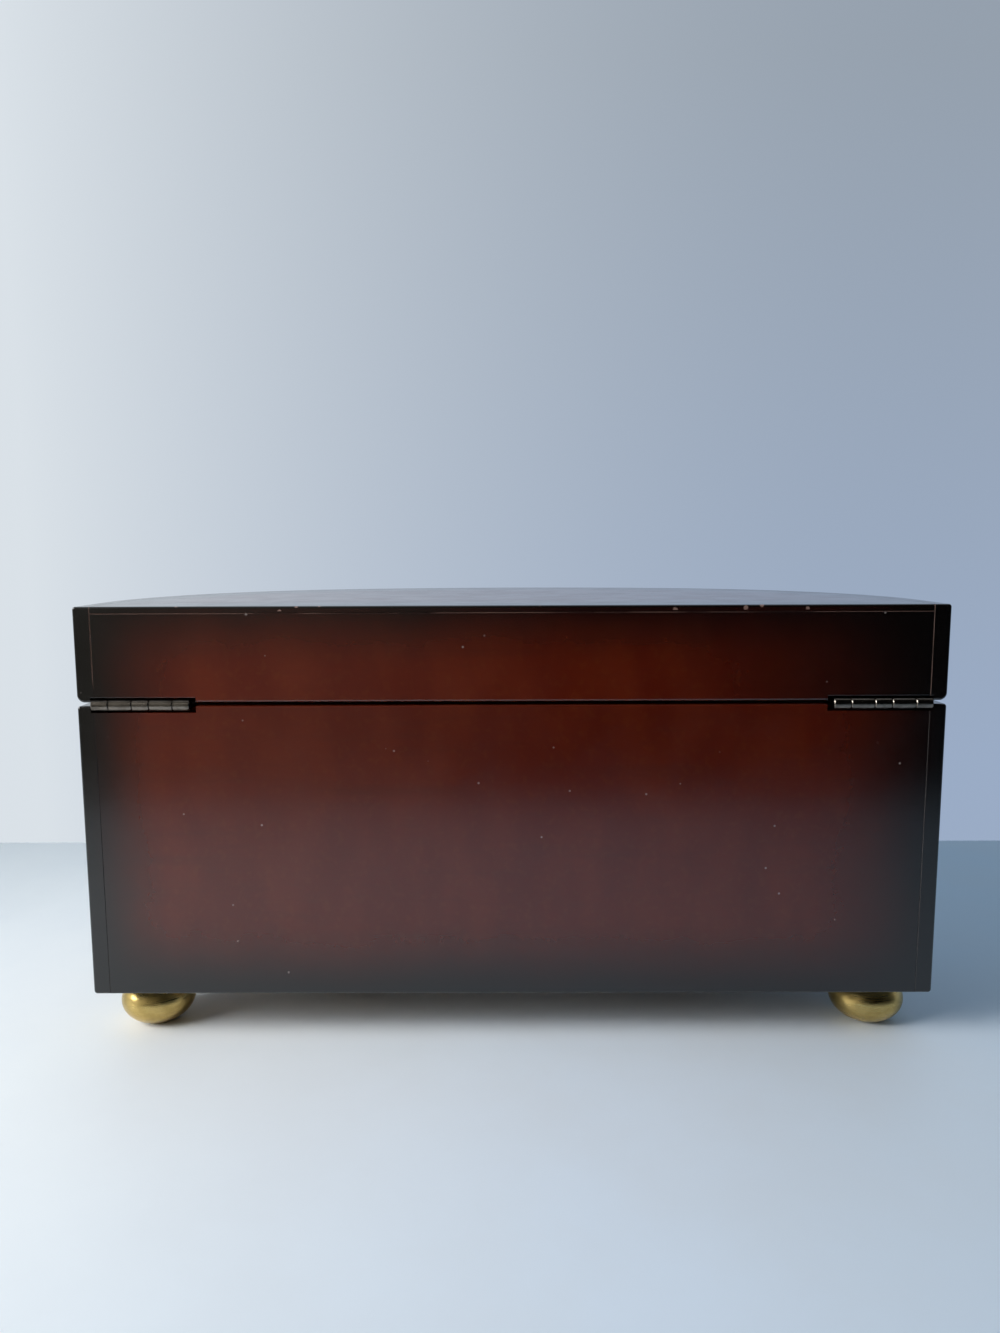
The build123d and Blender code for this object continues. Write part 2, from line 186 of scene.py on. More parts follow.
class Shader:
    """The node tree of one material, with short ways to add nodes and join them."""

    def __init__(self, name):
        self.material = bpy.data.materials.new(name)
        self.material.use_nodes = True
        self.tree = self.material.node_tree
        self.surface = self.tree.nodes["Principled BSDF"]
        self.place = self.node("TexCoord").outputs["Object"]

    def node(self, kind, inputs=None, **settings):
        made = self.tree.nodes.new("ShaderNode" + kind)
        for key, value in settings.items():
            setattr(made, key, value)
        for key, value in (inputs or {}).items():
            self.put(made.inputs[key], value)
        return made

    def put(self, socket, value):
        """Joins an output to the socket, or sets the socket's own value."""
        if isinstance(value, bpy.types.NodeSocket):
            self.tree.links.new(value, socket)
        elif socket.type == "RGBA" and len(value) == 3:
            socket.default_value = (*value, 1)
        else:
            socket.default_value = value

    def set(self, **values):
        """Sets inputs of the surface. An underscore stands for a space in the input's name."""
        for key, value in values.items():
            self.put(self.surface.inputs[key.replace("_", " ")], value)

    def shine(self, tone):
        """A surface that gives off light of its own."""
        return self.node("Emission", {"Color": tone}).outputs[0]

    def finish_with(self, surface):
        self.put(self.tree.nodes["Material Output"].inputs["Surface"], surface)

    def math(self, operation, a, b=0.0):
        return self.node("Math", {0: a, 1: b}, operation=operation).outputs[0]

    def mix(self, share, a, b):
        return self.node("Mix", {0: share, 6: a, 7: b}, data_type="RGBA").outputs[2]

    def scale(self, x, y, z):
        return self.node("Mapping", {"Vector": self.place, "Scale": (x, y, z)}).outputs[0]

    def noise(self, size, detail, rough, place=None):
        """Smooth noise whose spots are about size metres across."""
        inputs = {"Vector": place or self.place, "Scale": 1 / size, "Detail": detail, "Roughness": rough}
        return self.node("TexNoise", inputs).outputs["Fac"]

    def spots(self, spacing):
        """Distance to the nearest of scattered points, as a share of their spacing."""
        return self.node("TexVoronoi", {"Vector": self.place, "Scale": 1 / spacing}).outputs["Distance"]

    def step(self, value, low, high, start=0.0, end=1.0, kind="SMOOTHSTEP"):
        """Goes from start to end while value goes from low to high, eased at both ends."""
        inputs = {"Value": value, "From Min": low, "From Max": high, "To Min": start, "To Max": end}
        return self.node("MapRange", inputs, interpolation_type=kind).outputs[0]

    def step_even(self, value, low, high, start=0.0, end=1.0):
        """Goes from start to end in a straight line while value goes from low to high."""
        return self.step(value, low, high, start, end, "LINEAR")

    def bump(self, height, distance, strength, under=None):
        inputs = {"Height": height, "Distance": distance, "Strength": strength}
        if under is not None:
            inputs["Normal"] = under
        return self.node("Bump", inputs).outputs[0]

    def axes(self):
        return self.node("SeparateXYZ", {0: self.place}).outputs


def lacquer(name, shade, along="wall"):
    """Satin-gloss lacquer over red-brown wood. shade gives 0 at a dark edge and 1 in the open field."""
    s = Shader(name)
    if along == "wall":
        streaks = s.scale(11, 11, 170)
        fine = s.scale(90, 90, 700)
        figure = s.scale(60, 60, 26)
    else:
        streaks = s.scale(11, 170, 11)
        fine = s.scale(90, 700, 90)
        figure = s.scale(26, 60, 60)
    grain = s.noise(1.0, 4, 0.6, streaks)
    pores = s.noise(1.0, 1, 0.5, fine)
    flame = s.noise(1.0, 2, 0.5, figure)
    flecks = s.noise(2.6 * mm, 1, 0.5)
    cloud = s.noise(45 * mm, 2, 0.5)
    layers = [
        (flame, 0.34, 0.70, 0.85, cherry_light),
        (cloud, 0.30, 0.75, 0.45, cherry),
        (grain, 0.50, 0.75, 0.30, cherry_deep),
        (flecks, 0.50, 0.80, 0.22, cherry_gold),
        (pores, 0.50, 0.80, 0.12, cherry_deep),
    ]
    wood = cherry
    for pattern, low, high, share, tint in layers:
        wood = s.mix(s.step(pattern, low, high, 0.0, share), wood, tint)
    drift = s.math("MULTIPLY", s.math("SUBTRACT", cloud, 0.5), 9 * mm)
    colour = s.mix(shade(s, drift), edge_black, wood)
    # Real chips on the lid's edge, and painted highlight where the joint cracks catch light
    colour = s.mix(s.math("MAXIMUM", joint_lines(s), edge_chips(s)), colour, chip_wear_and_joint_highlight)
    colour = s.mix(dust(s), colour, dust_grey)
    peel = s.bump(s.noise(1.6 * mm, 2, 0.5), 0.006 * mm, 0.6)
    open_grain = s.bump(pores, 0.01 * mm, 0.25, peel)
    rough = s.step(s.noise(14 * mm, 3, 0.6), 0.3, 0.75, 0.17, 0.23)
    s.set(Base_Color=colour, Roughness=rough, Normal=open_grain)
    s.set(Coat_Weight=0.5, Coat_Roughness=0.15, Coat_IOR=1.5, IOR=1.5)
    return s.material


def dust(s):
    """Specks of dust here and there."""
    spacing = 1 / 110
    sparse = s.step(s.noise(12 * mm, 1, 0.5), 0.48, 0.54, 0.0, 0.42)
    return s.math("MULTIPLY", s.step(s.spots(spacing), 0.055, 0.030), sparse)


def near(s, value, place, reach):
    """1 where value is within reach of place, else 0."""
    return s.math("LESS_THAN", s.math("ABSOLUTE", s.math("SUBTRACT", value, place)), reach)


def joint_lines(s):
    """Fine pale lines on the flat back, broken in places. Their paleness is painted highlight, light caught
    along the cracks in the lacquer over the joints.

    They run where the wall ends and under the top panel, fainter on the case.
    """
    x, y, z = s.axes()
    ends = near(s, s.math("ABSOLUTE", x), half_width - wall, joint_line)
    under_top = near(s, z, panel_low_z, joint_line)
    inside = s.math("LESS_THAN", s.math("ABSOLUTE", x), half_width - wall)
    lines = s.math("MAXIMUM", ends, s.math("MULTIPLY", under_top, inside))
    on_back = s.math("LESS_THAN", y, back_y + joint_depth)
    broken = s.step(s.noise(38 * mm, 3, 0.6), 0.42, 0.52, 0.08, 0.55)
    faint = s.step(z, case_top_z, lid_low_z, case_joint_share, 1.0)
    shown = s.math("MULTIPLY", broken, faint)
    return s.math("MULTIPLY", s.math("MULTIPLY", lines, on_back), shown)


def edge_chips(s):
    """A few small pale nicks along the lid's upper back edge."""
    _, y, z = s.axes()
    at_edge = s.math("LESS_THAN", s.math("SUBTRACT", lid_top_z, z), chip_drop)
    at_back = s.math("LESS_THAN", y, back_y + chip_depth)
    ragged = s.math("MULTIPLY", s.noise(0.8 * mm, 2, 0.6), 0.12)
    nick = s.step(s.math("ADD", s.spots(chip_spacing), ragged), 0.24, 0.19)
    return s.math("MULTIPLY", s.math("MULTIPLY", nick, at_edge), at_back)


def corner_shade(s, drift, left, right):
    """0 at the two upright back corners of the sprayed finish, 1 further off. The wider reach on the right
    is painted shade for light that falls off to the right.
    """
    x, y, _ = s.axes()
    back = s.math("SUBTRACT", y, back_y)
    shades = []
    for reach, out in ((left, s.math("ADD", half_width, x)), (right, s.math("SUBTRACT", half_width, x))):
        squares = s.math("ADD", s.math("MULTIPLY", out, out), s.math("MULTIPLY", back, back))
        away = s.math("ADD", s.math("SQRT", squares), drift)
        shades.append(s.step(away, burst_start, reach))
    return s.math("MULTIPLY", *shades)


def case_shade(s, drift):
    """Dark at the case's back corners and along its bottom."""
    height = s.math("ADD", s.math("SUBTRACT", s.axes()[2], case_low_z), drift)
    upward = s.step(height, 0.0, burst_bottom, 0.0, case_openness)
    return s.math("MULTIPLY", corner_shade(s, drift, *case_burst_and_shade), upward)


def lid_shade(s, drift):
    """Dark at the lid's back corners and along its top."""
    depth = s.math("ADD", s.math("SUBTRACT", lid_top_z, s.axes()[2]), drift)
    downward = s.step(depth, burst_top_start, burst_top)
    return s.math("MULTIPLY", corner_shade(s, drift, *lid_burst_and_shade), downward)


def top_shade(s, drift):
    """Shading of the lid's top panel from the distance to the box's outline, kept on its mesh."""
    edge = s.node("Attribute", attribute_name="edge").outputs["Fac"]
    return s.step(s.math("ADD", edge, drift), *burst_panel)


def inner_wood():
    """Plain bare wood of the base panel."""
    s = Shader("base_wood")
    grain = s.noise(1.0, 5, 0.6, s.scale(14, 300, 300))
    colour = s.mix(grain, panel_wood, panel_streak)
    s.set(Base_Color=colour, Roughness=0.62, Normal=s.bump(grain, 0.05 * mm, 0.5))
    return s.material


def brass():
    """Satin brass with fine turning marks and patches of patina."""
    s = Shader("satin_brass")
    turned = s.noise(1.0, 3, 0.6, s.scale(60, 60, 2600))
    patina = s.noise(7 * mm, 4, 0.6)
    colour = s.mix(s.step(patina, 0.35, 0.7), brass_bright, brass_aged)
    rough = s.math("ADD", s.step(turned, 0.3, 0.7, 0.25, 0.33), s.step(patina, 0.45, 0.8, 0.0, 0.08))
    s.set(Base_Color=colour, Roughness=rough, Metallic=1.0, Normal=s.bump(turned, 0.004 * mm, 0.7))
    return s.material


def dark_nickel():
    """Dull nickel, drawn along the hinge and tarnished in spots."""
    s = Shader("dark_nickel")
    drawn = s.noise(1.0, 3, 0.6, s.scale(90, 2400, 2400))
    tarnish = s.noise(3 * mm, 4, 0.65)
    colour = s.mix(s.step(tarnish, 0.4, 0.7), nickel_bright, nickel_dull)
    rough = s.step(drawn, 0.3, 0.7, 0.21, 0.28)
    s.set(Base_Color=colour, Roughness=rough, Metallic=1.0, Normal=s.bump(drawn, 0.002 * mm, 0.5))
    return s.material


def steel():
    """Plain steel of the screws."""
    s = Shader("screw_steel")
    colour = s.mix(s.noise(1.5 * mm, 3, 0.6), steel_bright, steel_dull)
    s.set(Base_Color=colour, Roughness=0.36, Metallic=1.0)
    return s.material


def nap(name, light, dark, fibre=0.35 * mm):
    """Short suede nap: brushed patches, fibre and a soft sheen."""
    s = Shader(name)
    brushed = s.noise(16 * mm, 4, 0.62)
    fibres = s.noise(fibre, 3, 0.7)
    colour = s.mix(s.step(brushed, 0.36, 0.66), dark, light)
    colour = s.mix(s.step(fibres, 0.35, 0.75, 0.0, 0.35), colour, dark)
    soft = s.bump(s.noise(2.4 * mm, 3, 0.6), 0.10 * mm, 0.5)
    s.set(Base_Color=colour, Roughness=0.92, Normal=s.bump(fibres, 0.09 * mm, 0.8, soft))
    s.set(Sheen_Weight=0.35, Sheen_Roughness=0.45, Sheen_Tint=sheen_tint)
    s.set(Specular_IOR_Level=0.2)
    return s.material


def satin_ribbon():
    """Ribbon with fine crosswise ribs."""
    s = Shader("satin_ribbon")
    wave = {"Vector": s.place, "Scale": 900.0, "Distortion": 0.4}
    weave = s.node("TexWave", wave, bands_direction="Z").outputs["Fac"]
    colour = s.mix(weave, ribbon_light, ribbon_deep)
    s.set(Base_Color=colour, Roughness=0.42, Normal=s.bump(weave, 0.03 * mm, 0.5))
    s.set(Sheen_Weight=0.3, Sheen_Roughness=0.3)
    return s.material


def looking_glass():
    """Silvered glass with a faint haze."""
    s = Shader("mirror_glass")
    haze = s.step(s.noise(30 * mm, 3, 0.6), 0.4, 0.8, 0.012, 0.03)
    s.set(Base_Color=silvering, Metallic=1.0, Roughness=haze)
    return s.material


wood_case = lacquer("lacquer_case", case_shade)
wood_lid = lacquer("lacquer_lid", lid_shade)
wood_top = lacquer("lacquer_top", top_shade, "top")
wood_base = inner_wood()
metal_brass = brass()
metal_nickel = dark_nickel()
metal_steel = steel()
cloth_board = nap("suede_board", suede, suede_dark)
cloth_pad = nap("suede_pad", suede_pale, suede)
cloth_felt = nap("felt_dark", felt_light, felt_dark, 0.5 * mm)
cloth_ribbon = satin_ribbon()
glass_mirror = looking_glass()


def paint_nodes():
    """Gives each frame node that stays in view its material."""
    paints = {
        wood_case: ["case_wall", "case_back"],
        wood_lid: ["lid_wall", "lid_rail"],
        wood_base: ["case_bottom"],
        metal_steel: ["foot_screws", "case_hinge_screws", "lid_hinge_screws"],
        glass_mirror: ["mirror"],
        cloth_board: ["lid_backing", "tray_floor"],
        metal_nickel: [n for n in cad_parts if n.startswith("hinge_")],
    }
    for material, names in paints.items():
        for name in names:
            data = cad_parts[name].data
            data.materials.clear()
            data.materials.append(material)


def piece(name, points, faces, material, body, stands_for=()):
    """A smooth mesh piece that rides on a body."""
    data = bpy.data.meshes.new(name)
    data.from_pydata([tuple(p) for p in points], [], faces)
    data.validate()
    data.materials.append(material)
    data.shade_smooth()
    made = bpy.data.objects.new(name, data)
    bpy.context.scene.collection.objects.link(made)
    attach(made, body)
    if stands_for:
        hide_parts(*stands_for)
    return made


def mark_sharp(made, degrees):
    """Keeps edges that turn by more than this many degrees crisp."""
    made.data.set_sharp_from_angle(angle=math.radians(degrees))


def tube_faces(rows, around, endless=False):
    """Faces between closed rows of points. An endless tube meets itself, and any other is capped."""
    faces = []
    for i in range(rows if endless else rows - 1):
        after = (i + 1) % rows
        for k in range(around):
            n = (k + 1) % around
            faces.append((i * around + k, i * around + n, after * around + n, after * around + k))
    if not endless:
        faces.append(tuple(reversed(range(around))))
        faces.append(tuple(range(around * (rows - 1), around * rows)))
    return faces


def outline_front(x, inset):
    """Y of the bowed outline, moved in by inset, above a given x."""
    x = abs(x)
    shoulder = side_centre_x + (side_radius - inset) * math.cos(side_turn)
    if x <= shoulder:
        return front_centre_y + math.sqrt((front_radius - inset) ** 2 - x * x)
    rest = (side_radius - inset) ** 2 - (x - side_centre_x) ** 2
    return side_y + math.sqrt(max(rest, 0.0))


def edge_distance(x, y):
    """Distance from a point of the plan to the box's outline."""
    x = abs(x)
    if y <= side_y:
        bowed = half_width - x
    elif math.atan2(y - side_y, x - side_centre_x) <= side_turn:
        bowed = side_radius - math.hypot(x - side_centre_x, y - side_y)
    else:
        bowed = front_radius - math.hypot(x, y - front_centre_y)
    return min(bowed, y - back_y)


def loop(inset, back_inset, corner):
    """Closed plan outline from the right back corner, always with the same number of points."""
    half = half_width - inset
    back = back_y + back_inset
    right = []
    for k in range(corner_steps + 1):
        angle = math.radians(-90 + 90 * k / corner_steps)
        right.append((half - corner + corner * math.cos(angle), back + corner + corner * math.sin(angle)))
    for k in range(1, run_steps):
        right.append((half, back + corner + (side_y - back - corner) * k / run_steps))
    for k in range(arc_steps + 1):
        angle = side_turn * k / arc_steps
        reach = side_radius - inset
        right.append((side_centre_x + reach * math.cos(angle), side_y + reach * math.sin(angle)))
    span = math.pi / 2 - side_turn
    for k in range(1, arc_steps):
        angle = side_turn + span * k / arc_steps
        reach = front_radius - inset
        right.append((reach * math.cos(angle), front_centre_y + reach * math.sin(angle)))
    crown = (0.0, front_centre_y + front_radius - inset)
    left = [(-x, y) for x, y in reversed(right)]
    base = [(-half + corner + 2 * (half - corner) * k / back_steps, back) for k in range(1, back_steps)]
    return right + [crown] + left + base


def ring_piece(name, profile, inset, back_inset, corner, material, body, stands_for):
    """A closed band that follows the outline. profile is a closed list of (offset inwards, z)."""
    corner_growth = 0.2
    rows = []
    for d, z in profile:
        outline = loop(inset + d, back_inset + d, corner + corner_growth * d)
        rows.append([(x, y, z) for x, y in outline])
    points = [p for row in rows for p in row]
    faces = tube_faces(len(rows), len(rows[0]), endless=True)
    return piece(name, points, faces, material, body, stands_for)


def soft_section(thickness, low, high, radius, steps=5):
    """Section of a wrapped board, round at the top: a closed list of (offset, z), outside first."""
    radius = min(radius, thickness / 2)
    shoulder = high - radius
    section = [(0, low)]
    levels = 6
    for k in range(1, levels):
        section.append((0, low + (shoulder - low) * k / levels))
    for k in range(steps + 1):
        angle = math.pi - math.pi / 2 * k / steps
        section.append((radius + radius * math.cos(angle), shoulder + radius * math.sin(angle)))
    for k in range(steps + 1):
        angle = math.pi / 2 - math.pi / 2 * k / steps
        section.append((thickness - radius + radius * math.cos(angle), shoulder + radius * math.sin(angle)))
    for k in range(1, levels):
        section.append((thickness, shoulder - (shoulder - low) * k / levels))
    section.append((thickness, low))
    return section


def board_piece(name, low, high, thin_axis, radius, material, body, stands_for):
    """A straight wrapped board between two corners, its upper long edges round."""
    thin = 0 if thin_axis == "x" else 1
    long = 1 - thin
    section = soft_section(high[thin] - low[thin], low[2], high[2], radius)
    lengths = 12
    points = []
    for station in range(lengths + 1):
        for offset, z in section:
            point = [0.0, 0.0, z]
            point[thin] = low[thin] + offset
            point[long] = low[long] + (high[long] - low[long]) * station / lengths
            points.append(point)
    faces = tube_faces(lengths + 1, len(section))
    made = piece(name, points, faces, material, body, stands_for)
    mark_sharp(made, 50)


def lathe(name, profile, centre, material, body, stands_for, turns=72):
    """A turned piece from a profile of (radius, z), closed at both ends."""
    points = []
    for radius, z in profile:
        for k in range(turns):
            angle = math.tau * k / turns
            points.append((centre[0] + radius * math.cos(angle), centre[1] + radius * math.sin(angle), z))
    faces = tube_faces(len(profile), turns)
    made = piece(name, points, faces, material, body, stands_for)
    mark_sharp(made, 40)


def node_middle(name):
    low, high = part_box(name)
    return (low + high) / 2


def make_feet():
    """Bun feet: a round belly between two flats, with a ring of points inside each flat."""
    flat = 5.0 * mm
    inner_ring = flat * 0.86
    belly_steps = 40
    for name in ("foot_back_left", "foot_back_right", "foot_front_left", "foot_front_right"):
        low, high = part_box(name)
        radius = (high.x - low.x) / 2
        half = (high.z - low.z) / 2
        limit = math.acos(flat / radius)
        belly = half / math.sin(limit)
        profile = [(inner_ring, low.z)]
        for k in range(belly_steps + 1):
            angle = -limit + 2 * limit * k / belly_steps
            profile.append((radius * math.cos(angle), half + belly * math.sin(angle)))
        profile.append((inner_ring, high.z))
        lathe(name + "_turned", profile, node_middle(name), metal_brass, "case", [name])


def make_lid_top():
    """The top panel as a fine grid, its back edge eased, with each point's distance to the outline."""
    low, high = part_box("lid_top")
    groove = 0.15 * mm
    ease = 0.8 * mm
    ease_steps = 5
    rear_shade = (3 * mm, 10 * mm)
    rear_fade = 40 * mm
    inset = wall + 0.02 * mm
    corner = 0.3 * mm
    columns = sorted(set(round(x, 7) for x, _ in loop(inset, 0.0, corner)))
    rows = 40
    points, faces, edges = [], [], []
    for x in columns:
        front = outline_front(x, inset)
        levels = [(back_y, low.z + groove), (back_y, high.z - ease)]
        for k in range(1, ease_steps):
            angle = math.pi / 2 * k / ease_steps
            levels.append((back_y + ease * (1 - math.cos(angle)), high.z - ease * (1 - math.sin(angle))))
        start = back_y + ease
        for k in range(rows + 1):
            levels.append((start + (front - groove - start) * k / rows, high.z))
        levels.append((front, high.z - groove))
        levels.append((front, low.z))
        out = half_width - abs(x)
        rear = rear_shade[0] + (rear_shade[1] - rear_shade[0]) * min(out / rear_fade, 1.0)
        for row, (y, z) in enumerate(levels):
            points.append((x, y, z))
            edges.append(rear if row < 2 else edge_distance(x, y))
    count = len(levels)
    for i in range(len(columns) - 1):
        for k in range(count - 1):
            a, b = i * count + k, (i + 1) * count + k
            faces.append((a, b, b + 1, a + 1))
        faces.append((i * count + count - 1, (i + 1) * count + count - 1, (i + 1) * count, i * count))
    faces.append(tuple(range(count)))
    faces.append(tuple(reversed(range(count * (len(columns) - 1), count * len(columns)))))
    made = piece("lid_top_panel", points, faces, wood_top, "lid", ["lid_top"])
    edge = made.data.attributes.new("edge", "FLOAT", "POINT")
    edge.data.foreach_set("value", edges)
    mark_sharp(made, 30)


def eased_share(k, steps):
    """Goes from 0 to 1 in the given steps, with the points closer together at both ends."""
    return 0.5 - 0.5 * math.cos(math.pi * k / steps)


def pad_piece(name, bays, low, high, crown, round_edge, material, body, stands_for, wander):
    """One padded sheet of several bays. A bay is (x0, x1, y0, front) and front gives y above x."""
    steps = 26
    wide = steps + 1
    rim_share = 0.45
    ripple_rate = 60
    ripple_row = 3.0
    points, faces = [], []
    for x0, x1, y0, front in bays:
        base = len(points)
        for i in range(wide):
            u = eased_share(i, steps)
            x = x0 + (x1 - x0) * u
            y1 = front(x)
            for k in range(wide):
                v = eased_share(k, steps)
                y = y0 + (y1 - y0) * v
                reach = min(x - x0, x1 - x, y - y0, y1 - y)
                lift = 1 - (1 - min(reach / round_edge, 1.0)) ** 2
                full = rim_share + (1 - rim_share) * math.sqrt(max(lift, 0.0))
                dome = (1 - (2 * u - 1) ** 2) * (1 - (2 * v - 1) ** 2)
                ripple = wander * noise.noise(Vector((x * ripple_rate, y * ripple_rate, ripple_row)))
                points.append((x, y, low + (high - low) * full + (crown + ripple) * dome))
        top = len(points)
        for x, y, _ in points[base:top]:
            points.append((x, y, low))
        for i in range(steps):
            for k in range(steps):
                a = base + i * wide + k
                faces.append((a, a + wide, a + wide + 1, a + 1))
                b = top + i * wide + k
                faces.append((b, b + 1, b + wide + 1, b + wide))
        rim = [i * wide for i in range(wide)]
        rim += [steps * wide + k for k in range(1, wide)]
        rim += [i * wide + steps for i in range(steps - 1, -1, -1)]
        rim += [k for k in range(steps - 1, 0, -1)]
        for n, index in enumerate(rim):
            after = rim[(n + 1) % len(rim)]
            faces.append((base + index, top + index, top + after, base + after))
    made = piece(name, points, faces, material, body, stands_for)
    mark_sharp(made, 60)


def make_linings():
    """Wrapped boards round the inside of the case and, with the round edge down, of the lid."""
    corner = 1.5 * mm
    linings = [
        ("lining_board", "case", 4.0 * mm, 1.6 * mm, 5),
        ("case_lining", "case", 1.0 * mm, 0.45 * mm, 3),
        ("lid_lining", "lid", 1.0 * mm, 0.45 * mm, 3),
    ]
    for name, body, thickness, radius, steps in linings:
        low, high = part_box(name)
        section = soft_section(thickness, low.z, high.z, radius, steps)
        if body == "lid":
            section = [(d, low.z + high.z - z) for d, z in reversed(section)]
        ring_piece(name + "_wrapped", section, wall, back_thickness, corner, cloth_board, body,
                   [name])


def make_dividers():
    """Wrapped boards that divide the case and the tray."""
    boards = [
        ("divider", "x", 1.2 * mm, "case"),
        ("tray_cross", "x", 1.1 * mm, "tray"),
        ("tray_partition", "y", 1.1 * mm, "tray"),
    ]
    for kind, thin_axis, radius, body in boards:
        for side in ("left", "right"):
            name = f"{kind}_{side}"
            low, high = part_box(name)
            board_piece(name + "_wrapped", low, high, thin_axis, radius, cloth_board, body,
                        [name])


def make_floor_pad():
    """Padded floor of the case, sewn down under the two dividers."""
    low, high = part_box("floor_pad")
    inset = half_width - high.x
    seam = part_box("divider_right")[0].x + 0.8 * mm
    edge_drop = 0.2 * mm
    crown = 1.6 * mm
    round_edge = 5 * mm
    ripple = 0.8 * mm
    half = high.x

    def front(x):
        return outline_front(x, inset)

    bays = [
        (-half, -seam, low.y, front),
        (-seam, seam, low.y, front),
        (seam, half, low.y, front),
    ]
    pad_piece("floor_pad_sewn", bays, low.z, high.z - edge_drop, crown, round_edge, cloth_pad, "case",
              ["floor_pad"], ripple)


def make_tray():
    """Wrapped wall of the tray, and the padded floors of its five bays."""
    thickness = 3.0 * mm
    rim_round = 1.4 * mm
    corner = 1.6 * mm
    crown = 0.8 * mm
    round_edge = 3 * mm
    ripple = 0.4 * mm
    least_bay = 1 * mm
    low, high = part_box("tray_wall")
    inset = half_width - high.x
    section = soft_section(thickness, low.z, high.z, rim_round)
    ring_piece("tray_wall_wrapped", section, inset, low.y - back_y, corner, cloth_board, "tray",
               ["tray_wall"])
    low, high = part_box("tray_floor_lining")
    inset = half_width - high.x
    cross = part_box("tray_cross_right")
    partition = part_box("tray_partition_right")

    def front(x):
        return outline_front(x, inset)

    def back_bay_front(x):
        return min(front(x), partition[0].y)

    def front_bay_front(x):
        return max(front(x), partition[1].y + least_bay)

    bays = [
        (cross[1].x, high.x, low.y, back_bay_front),
        (cross[1].x, partition[1].x, partition[1].y, front_bay_front),
        (-cross[0].x, cross[0].x, low.y, front),
    ]
    mirrored = [(-x1, -x0, y0, f) for x0, x1, y0, f in bays[:2]]
    pad_piece("tray_floor_sewn", bays + mirrored, low.z, high.z, crown, round_edge, cloth_pad, "tray",
              ["tray_floor_lining"], ripple)


def make_ring_rolls():
    """Stuffed rolls: a round-topped section, tucked in at both ends, each a little different."""
    random.seed(7)
    around, along = 28, 34
    tuck_reach = 5 * mm
    tucked_size = 0.80
    squareness = 0.35
    pucker_depth = 0.018
    for index in range(1, 9):
        name = f"ring_roll_{index}"
        low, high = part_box(name)
        radius = (high.y - low.y) / 2
        centre_y = (low.y + high.y) / 2
        shoulder = high.z - radius
        drift = random.uniform(-5, 5)
        points = []
        for i in range(along + 1):
            x = low.x + (high.x - low.x) * eased_share(i, along)
            reach = min(x - low.x, high.x - x)
            tuck = math.sqrt(max(1 - (1 - min(reach / tuck_reach, 1.0)) ** 2, 0.0))
            size = tucked_size + (1 - tucked_size) * tuck
            for k in range(around):
                angle = math.tau * k / around
                y = radius * math.cos(angle)
                z = radius * math.sin(angle)
                if z < 0:
                    z *= (shoulder - low.z) / radius
                    y = math.copysign(radius * abs(math.cos(angle)) ** squareness, y)
                pucker = 1 + pucker_depth * noise.noise(Vector((x * 90, angle * 1.5, drift)))
                y = max(min(y * size * pucker, radius), -radius)
                z = shoulder + (z * size * pucker if z > 0 else z)
                points.append((x, centre_y + y, min(max(z, low.z), high.z)))
        faces = tube_faces(along + 1, around)
        made = piece(name + "_stuffed", points, faces, cloth_pad, "tray", [name])
        mark_sharp(made, 60)


def make_mirror_surround():
    """Padded frame that holds the mirror under the lid."""
    low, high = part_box("mirror_surround")
    inset = half_width - high.x
    corner = 1.2 * mm
    width = 18.7 * mm
    lap = 3.0 * mm
    fullness = 0.55
    board_z = high.z - 1.6 * mm
    lip_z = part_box("mirror")[0].z - 0.1 * mm
    steps = 14
    section = [(0.0, high.z), (0.0, board_z)]
    for k in range(steps):
        angle = math.pi * k / steps
        swell = (board_z - low.z) * math.sin(angle) ** fullness
        section.append((width / 2 * (1 - math.cos(angle)), board_z - swell))
    section += [(width, lip_z), (width - lap, lip_z), (width - lap, high.z)]
    made = ring_piece("mirror_surround_padded", section, inset, low.y - back_y, corner, cloth_pad, "lid",
                      ["mirror_surround"])
    mark_sharp(made, 60)


def make_pulls():
    """Ribbon tabs sewn to the cross walls and folded over at the top."""
    thick_share = 0.42
    cloth_share = 0.8
    stand_off = 0.05 * mm
    fold_drop = 1.2 * mm
    fold_rise = 1.0 * mm
    fold_width = 0.4 * mm
    straight_steps, fold_steps, across = 12, 8, 10
    wide = across + 1
    for name, sign in (("tray_pull_left", -1), ("tray_pull_right", 1)):
        low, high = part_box(name)
        face = low.x if sign > 0 else high.x
        thick = (high.x - low.x) * thick_share
        fold_z = high.z - fold_drop
        line = []
        for k in range(straight_steps + 1):
            line.append((0.5 * thick + stand_off, low.z + (fold_z - low.z) * k / straight_steps))
        for k in range(1, fold_steps + 1):
            angle = math.pi * k / fold_steps
            out = 0.5 * thick + fold_width / 2 * (1 - math.cos(angle))
            line.append((out, fold_z + fold_rise * math.sin(angle)))
        points, faces = [], []
        for out, z in line:
            for k in range(wide):
                points.append((face + sign * out, low.y + (high.y - low.y) * k / across, z))
        for j in range(len(line) - 1):
            for k in range(across):
                a = j * wide + k
                faces.append((a, a + 1, a + wide + 1, a + wide))
        made = piece(name + "_ribbon", points, faces, cloth_ribbon, "tray", [name])
        solid = made.modifiers.new("thickness", "SOLIDIFY")
        solid.thickness = thick * cloth_share
        solid.offset = 0


def make_bumpers():
    """Two felt dots on the case's front rim, their edges eased."""
    low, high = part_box("rim_bumpers")
    radius = (high.y - low.y) / 2
    foot_ease = (0.25 * mm, 0.2 * mm)
    top_ease = 0.3 * mm
    profile = [
        (radius - foot_ease[0], low.z),
        (radius, low.z + foot_ease[1]),
        (radius, high.z - top_ease),
        (radius - top_ease, high.z),
    ]
    for side, x in (("left", low.x + radius), ("right", high.x - radius)):
        centre = (x, (low.y + high.y) / 2)
        stands_for = ["rim_bumpers"] if side == "left" else []
        lathe(f"rim_bumper_{side}_felt", profile, centre, cloth_felt, "case", stands_for, 28)


